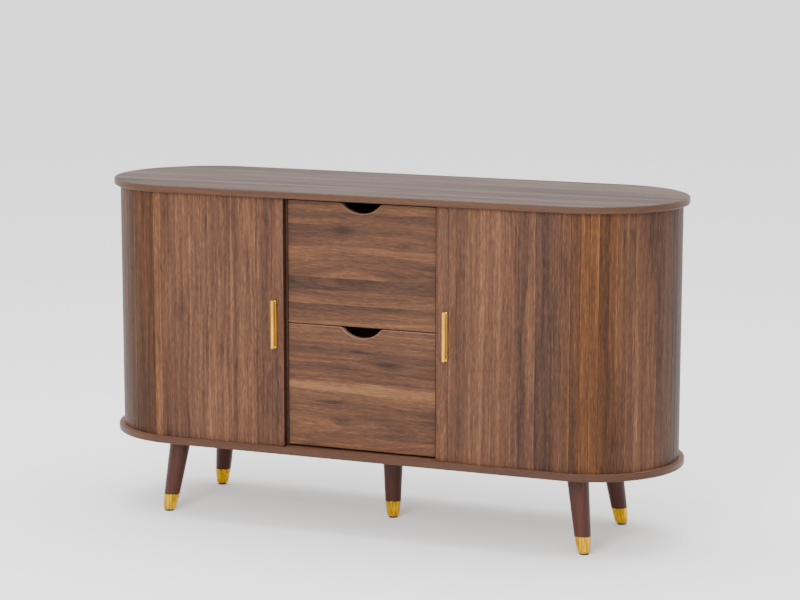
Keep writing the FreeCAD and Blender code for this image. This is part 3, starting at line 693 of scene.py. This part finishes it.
def brushed(tree, place, size, detail):
    """Noise stretched upright, as a brush leaves it."""
    width, length = size
    scale = (1000 / width, 1000 / width, 1000 / length)
    spot = add(tree, "VectorMath", (place, scale), operation="MULTIPLY")
    return add(tree, "TexNoise", {"Vector": spot, "Scale": 1.0, "Detail": detail})


def brushed_metal(name, code, roughness, streaks=(1.0, 1.0)):
    """Metal with fine scratches; streaks tint its darkest and brightest strokes."""
    material, tree, shader = new_material(name)
    place = add(tree, "TexCoord").outputs["Object"]
    scratches = brushed(tree, place, SCRATCHES, detail=2.0)
    strokes = brushed(tree, place, STROKES, detail=1.0)
    tint = add(tree, "MapRange", (scratches, 0.0, 1.0, *SCRATCH_TINT))
    pressed = add(tree, "MapRange", (strokes, *STROKE_SPAN, *streaks))
    strength = add(tree, "Math", (tint, pressed), operation="MULTIPLY")
    colour = add(tree, "VectorMath", {0: linear(code)[:3], "Scale": strength},
                 operation="SCALE")
    rough = add(tree, "MapRange", (scratches, 0.0, 1.0, roughness - SMOOTHER,
                                   roughness + ROUGHER))
    tree.links.new(colour.outputs[0], shader.inputs["Base Color"])
    tree.links.new(rough.outputs[0], shader.inputs["Roughness"])
    shader.inputs["Metallic"].default_value = 1.0
    return material


# handles: cast brass, brushed to satin, with soft pale lights
BRASS = brushed_metal("satin_brass", "d19f3e", 0.28, (0.85, 1.1))
# ferrules: spun brass, polished on the lathe, deep yellow with dark and bright streaks
GILT = brushed_metal("polished_brass", "d8a60e", 0.25, (0.55, 1.25))
# runners: rolled steel with a zinc coat, a cool even grey
STEEL = brushed_metal("zinc_plated_steel", "b9babd", 0.35)
print("made", BRASS.name, GILT.name, STEEL.name)

# %% [markdown]
# ## Legs and glides
# The legs are beech, turned and stained dark, so that they step back under the walnut.
# Beech has a close, even grain, which a weak figure in three near browns gives. Each
# stands on a small glide, moulded from black polyethylene. A glide could be plain
# black, but mould grit gives such plastic a slightly uneven grey.

# %% Stain and moulded plastic
# millimetres; marks of real grit are a tenth of this and would vanish, so they are
# drawn coarser
GRIT = 1.1


def moulded_plastic(name, dark, light):
    """Polyethylene from a mould blasted with grit: dull, with a fine mottle."""
    material, tree, shader = new_material(name)
    place = add(tree, "TexCoord").outputs["Object"]
    mottle = add(tree, "TexNoise", {"Vector": place, "Scale": 1000 / GRIT})
    grey = add(tree, "MapRange", (mottle, 0.0, 1.0, linear(dark)[0], linear(light)[0]))
    tree.links.new(grey.outputs[0], shader.inputs["Base Color"])
    shader.inputs["Roughness"].default_value = 0.55
    return material


# legs: turned beech under dark stain and lacquer, smoother than the open-pored veneer
STAIN = board_walnut("stained_beech", 4.9, ("2f160e", "3c1e15", "49281d"), 0.4,
                     along="Z", across="X", bands_gain=0.6, lines_gain=0.3)
GLIDE = moulded_plastic("moulded_polyethylene", "1d1d1d", "292929")
print("made", STAIN.name, GLIDE.name)

# %% [markdown]
# ## Dressing the solids
# Each solid of the model gets the finish of the piece that it is. This could be done by
# picking them one by one in the viewport. Their names say what they are, so a short
# list of rules is enough, and none is forgotten. The solids themselves stay as they
# are.

# %% Finishes on the solids
def finish_for(name):
    """The finish of a node, by its name."""
    if name.startswith("tambour"):
        return WALNUT_SLATS
    if name in ("top_panel", "base_panel"):
        return WALNUT_TOP
    if name == "back_panel":
        return WALNUT_BACK
    if name.startswith("end_liner"):
        return WALNUT_LINER
    if name in ("shelf_left", "shelf_right"):
        return WALNUT_SHELF
    if name.endswith("_rails") or name == "drawer_channels":
        return STEEL
    if name.startswith("drawer_"):
        return PLY
    return WALNUT_INSIDE


for name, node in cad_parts.items():
    node.data.materials.clear()
    node.data.materials.append(finish_for(name))
print("dressed", len(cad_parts), "nodes")

# %% [markdown]
# ## Making a piece
# A real edge is never knife sharp, and a turned or bent wall is smooth. A new piece is
# made for each solid that needs this. Its small and four-sided faces are shaded
# smoothly. Large flat ones stay flat, so that no false gradient crosses them.

# %% From a mesh to a piece
SMOOTH_LIMIT = math.radians(35)
FLAT_AREA = 4e-4  # square metres


def shade(work):
    """Smooth the small and curved faces, and keep edges beyond the limit sharp."""
    for face in work.faces:
        face.smooth = face.calc_area() < FLAT_AREA or len(face.verts) == 4
    for edge in work.edges:
        edge.smooth = len(edge.link_faces) == 2 and edge.calc_face_angle(0) < SMOOTH_LIMIT


def finish_piece(work, name, body, materials, node_name, pick=None):
    """Turn a bmesh into a piece that rides on a body and stands for a node."""
    bmesh.ops.recalc_face_normals(work, faces=work.faces)
    shade(work)
    if pick:
        for face in work.faces:
            face.material_index = pick(face)
    data = bpy.data.meshes.new(name)
    work.to_mesh(data)
    work.free()
    for material in materials:
        data.materials.append(material)
    piece = bpy.data.objects.new(name, data)
    bpy.context.scene.collection.objects.link(piece)
    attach(piece, body)
    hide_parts(node_name)
    print(name, len(data.polygons), "faces")


print("edges stay sharp beyond degrees", round(math.degrees(SMOOTH_LIMIT)))

# %% [markdown]
# ## Boards with a banded edge
# A maker breaks every edge with sandpaper and covers the raw side of a board with a
# band. A solid of the model is loose triangles, and neither a bevel nor smooth shading
# works on those. So a copy is merged and its flat areas are dissolved into single
# faces, after which a square edge can be bevelled by less than a millimetre. A Bevel
# modifier would do as well, but the operator takes just the edges that a hand would
# reach. The band could be a mesh of its own. A piece can hold several materials
# though, and the way that a face looks tells which one it gets.

# %% Soft copies and the two boards
MERGE_GAP = 1e-6  # metres
FLAT_TURN = math.radians(0.5)
SQUARE_TURN = math.radians(60)
SQUARELY = 0.9  # share of its normal by which a face looks along an axis


def soft_copy(node_name, name, body, materials, width=0.0, pick=None):
    """Merged copy of a node, its square edges rounded by a width."""
    work = bmesh.new()
    work.from_mesh(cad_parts[node_name].data)
    bmesh.ops.remove_doubles(work, verts=work.verts, dist=MERGE_GAP)
    bmesh.ops.dissolve_limit(work, angle_limit=FLAT_TURN, verts=work.verts,
                             edges=work.edges)
    if width:
        square = [edge for edge in work.edges if len(edge.link_faces) == 2
                  and edge.calc_face_angle(0) > SQUARE_TURN]
        bmesh.ops.bevel(work, geom=square, offset=width, offset_type="OFFSET", segments=2,
                        profile=0.5, affect="EDGES", clamp_overlap=True, material=-1)
    finish_piece(work, name, body, materials, node_name, pick)


def is_band(face):
    """1 for faces that look sideways or lean, 0 for level ones."""
    return 0 if abs(face.normal.z) > SQUARELY else 1


# the base board's ledge gets painted light, and its band painted shade
for board, veneer, band in (("top", WALNUT_TOP, WALNUT_BAND),
                            ("base", WALNUT_LEDGE_PAINTED_LIGHT, BASE_BAND_PAINTED_SHADE)):
    soft_copy(board + "_panel", board + "_board", "cabinet",
              (veneer, band), pick=is_band)

# %% [markdown]
# ## Leading stiles and pull bars
# Each door starts with a thick stile that carries its pull, a slim brass bar. The
# stile's front is veneered like the slats, and its sides get a dark brown, a painted
# shade for the gap they face. New boxes could be drawn for both, but soft copies keep
# the tongues of the stile and the shape of the bar as they were designed. Wood gets a
# slightly rounder edge than brass.

# %% Stiles and pull bars
STILE_EDGE, BAR_EDGE = 0.0006, 0.0004  # metres


def is_stile_edge(face):
    """1 for faces that look along the cabinet, 0 for the rest."""
    return 1 if abs(face.normal.x) > SQUARELY else 0


# the stiles' sides, the faces that look along the cabinet, take the painted shade
for side in ("left", "right"):
    soft_copy("tambour_%s_stile" % side, "leading_stile_" + side, "door_" + side,
              (WALNUT_SLATS, STILE_SIDE_PAINTED_SHADE), width=STILE_EDGE,
              pick=is_stile_edge)
    soft_copy("handle_" + side, "pull_bar_" + side, "door_" + side, (BRASS,),
              width=BAR_EDGE)

# %% [markdown]
# ## Drawer fronts with a painted highlight on top
# A drawer front has a notch for the fingers. Its upper edge and the floor of the notch
# get a pale brown, a painted highlight for the light that falls on them. Cutting the
# notch again with a Boolean modifier would risk a ragged rim. A soft copy has it
# already, and every face of it that looks up gets the pale brown.

# %% Drawer fronts
DRAWER_EDGE = 0.001  # metres
UPWARDS = 0.25  # less than squarely, so that the band follows the notch's curve


def is_upper_edge(face):
    """1 for faces that look up, 0 for the rest."""
    return 1 if face.normal.z > UPWARDS else 0


# faces that look up take the painted highlight
for place, veneer in (("upper", WALNUT_UPPER), ("lower", WALNUT_LOWER)):
    soft_copy("drawer_%s_front" % place, "drawer_face_" + place, "drawer_" + place,
              (veneer, UPPER_EDGE_PAINTED_LIGHT), width=DRAWER_EDGE, pick=is_upper_edge)

# %% [markdown]
# ## Turning a leg
# Leg, ferrule and glide are turned on a lathe, and a spin does what a lathe does: it
# sweeps a profile round an axis. A cone would give the leg's taper as well, but not the
# ferrule's rolled rim. The corner legs stand askew, so the spun shape is then pushed
# sideways in step with its height, which keeps its foot flat on the floor.

# %% Turning
FOOT = (0.501, 0.138)  # place of a corner foot from the middle, in metres
LEAN = (0.024, 0.020)  # how far the leg leans in from foot to board
LEG_HEIGHT = 0.175
TURN_STEPS = 48
TURN_GAP = 1e-7  # merges the points on the axis
CORNERS = ((-1, -1), (1, -1), (-1, 1), (1, 1), (0, 0))  # the last is the centre leg


def turned(work, profile, side_x, side_y, leaning=True):
    """Spin a profile of radius and height pairs, and lean it towards the middle."""
    there_before = set(work.verts)
    start = [work.verts.new((radius, 0, height)) for radius, height in profile]
    edges = [work.edges.new(pair) for pair in zip(start, start[1:])]
    bmesh.ops.spin(work, geom=start + edges, cent=(0, 0, 0), axis=(0, 0, 1),
                   angle=math.tau, steps=TURN_STEPS, use_merge=True)
    for vert in set(work.verts) - there_before:
        rise = vert.co.z / LEG_HEIGHT if leaning else 0.0
        vert.co.x += side_x * (FOOT[0] - LEAN[0] * rise)
        vert.co.y += side_y * (FOOT[1] - LEAN[1] * rise)


def turned_piece(name, node_name, profile, places, material, leaning=True):
    """One piece of several turned copies."""
    work = bmesh.new()
    for side_x, side_y in places:
        turned(work, profile, side_x, side_y, leaning)
    bmesh.ops.remove_doubles(work, verts=work.verts, dist=TURN_GAP)
    finish_piece(work, name, "cabinet", (material,), node_name)


# radius and height in metres
LEG_PROFILE = ((0, 0.040), (0.018, 0.040), (0.02125, 0.1075), (0.0245, 0.175), (0, 0.175))
for row, places in (("front", CORNERS[:2]), ("back", CORNERS[2:])):
    turned_piece("turned_legs_" + row, "legs_" + row, LEG_PROFILE, places,
                 STAIN)

# %% [markdown]
# ## Ferrules and glides
# A ferrule is a brass cup that is pressed over the foot of the leg. Its toe is rounded
# and its upper rim stands a fraction of a millimetre proud. The glide under it is a
# flat button with a broken edge, level on the floor, so it doesn't lean. Both profiles
# are drawn point by point, because a bevel can't give the two ends of a cup different
# rounding.

# %% Ferrules and glides
FERRULE_PROFILE = ((0, 0.004), (0.0112, 0.004), (0.0124, 0.0046), (0.0134, 0.0058),
                   (0.0141, 0.0075), (0.0145, 0.0100), (0.0183, 0.0392), (0.0184, 0.0396),
                   (0.0182, 0.040), (0, 0.040))
GLIDE_PROFILE = ((0, 0), (0.0098, 0), (0.0103, 0.0002), (0.0105, 0.0008),
                 (0.0105, 0.0042), (0, 0.0042))
turned_piece("brass_ferrules", "leg_ferrules", FERRULE_PROFILE, CORNERS, GILT)
turned_piece("floor_glides", "leg_glides", GLIDE_PROFILE, CORNERS, GLIDE,
             leaning=False)
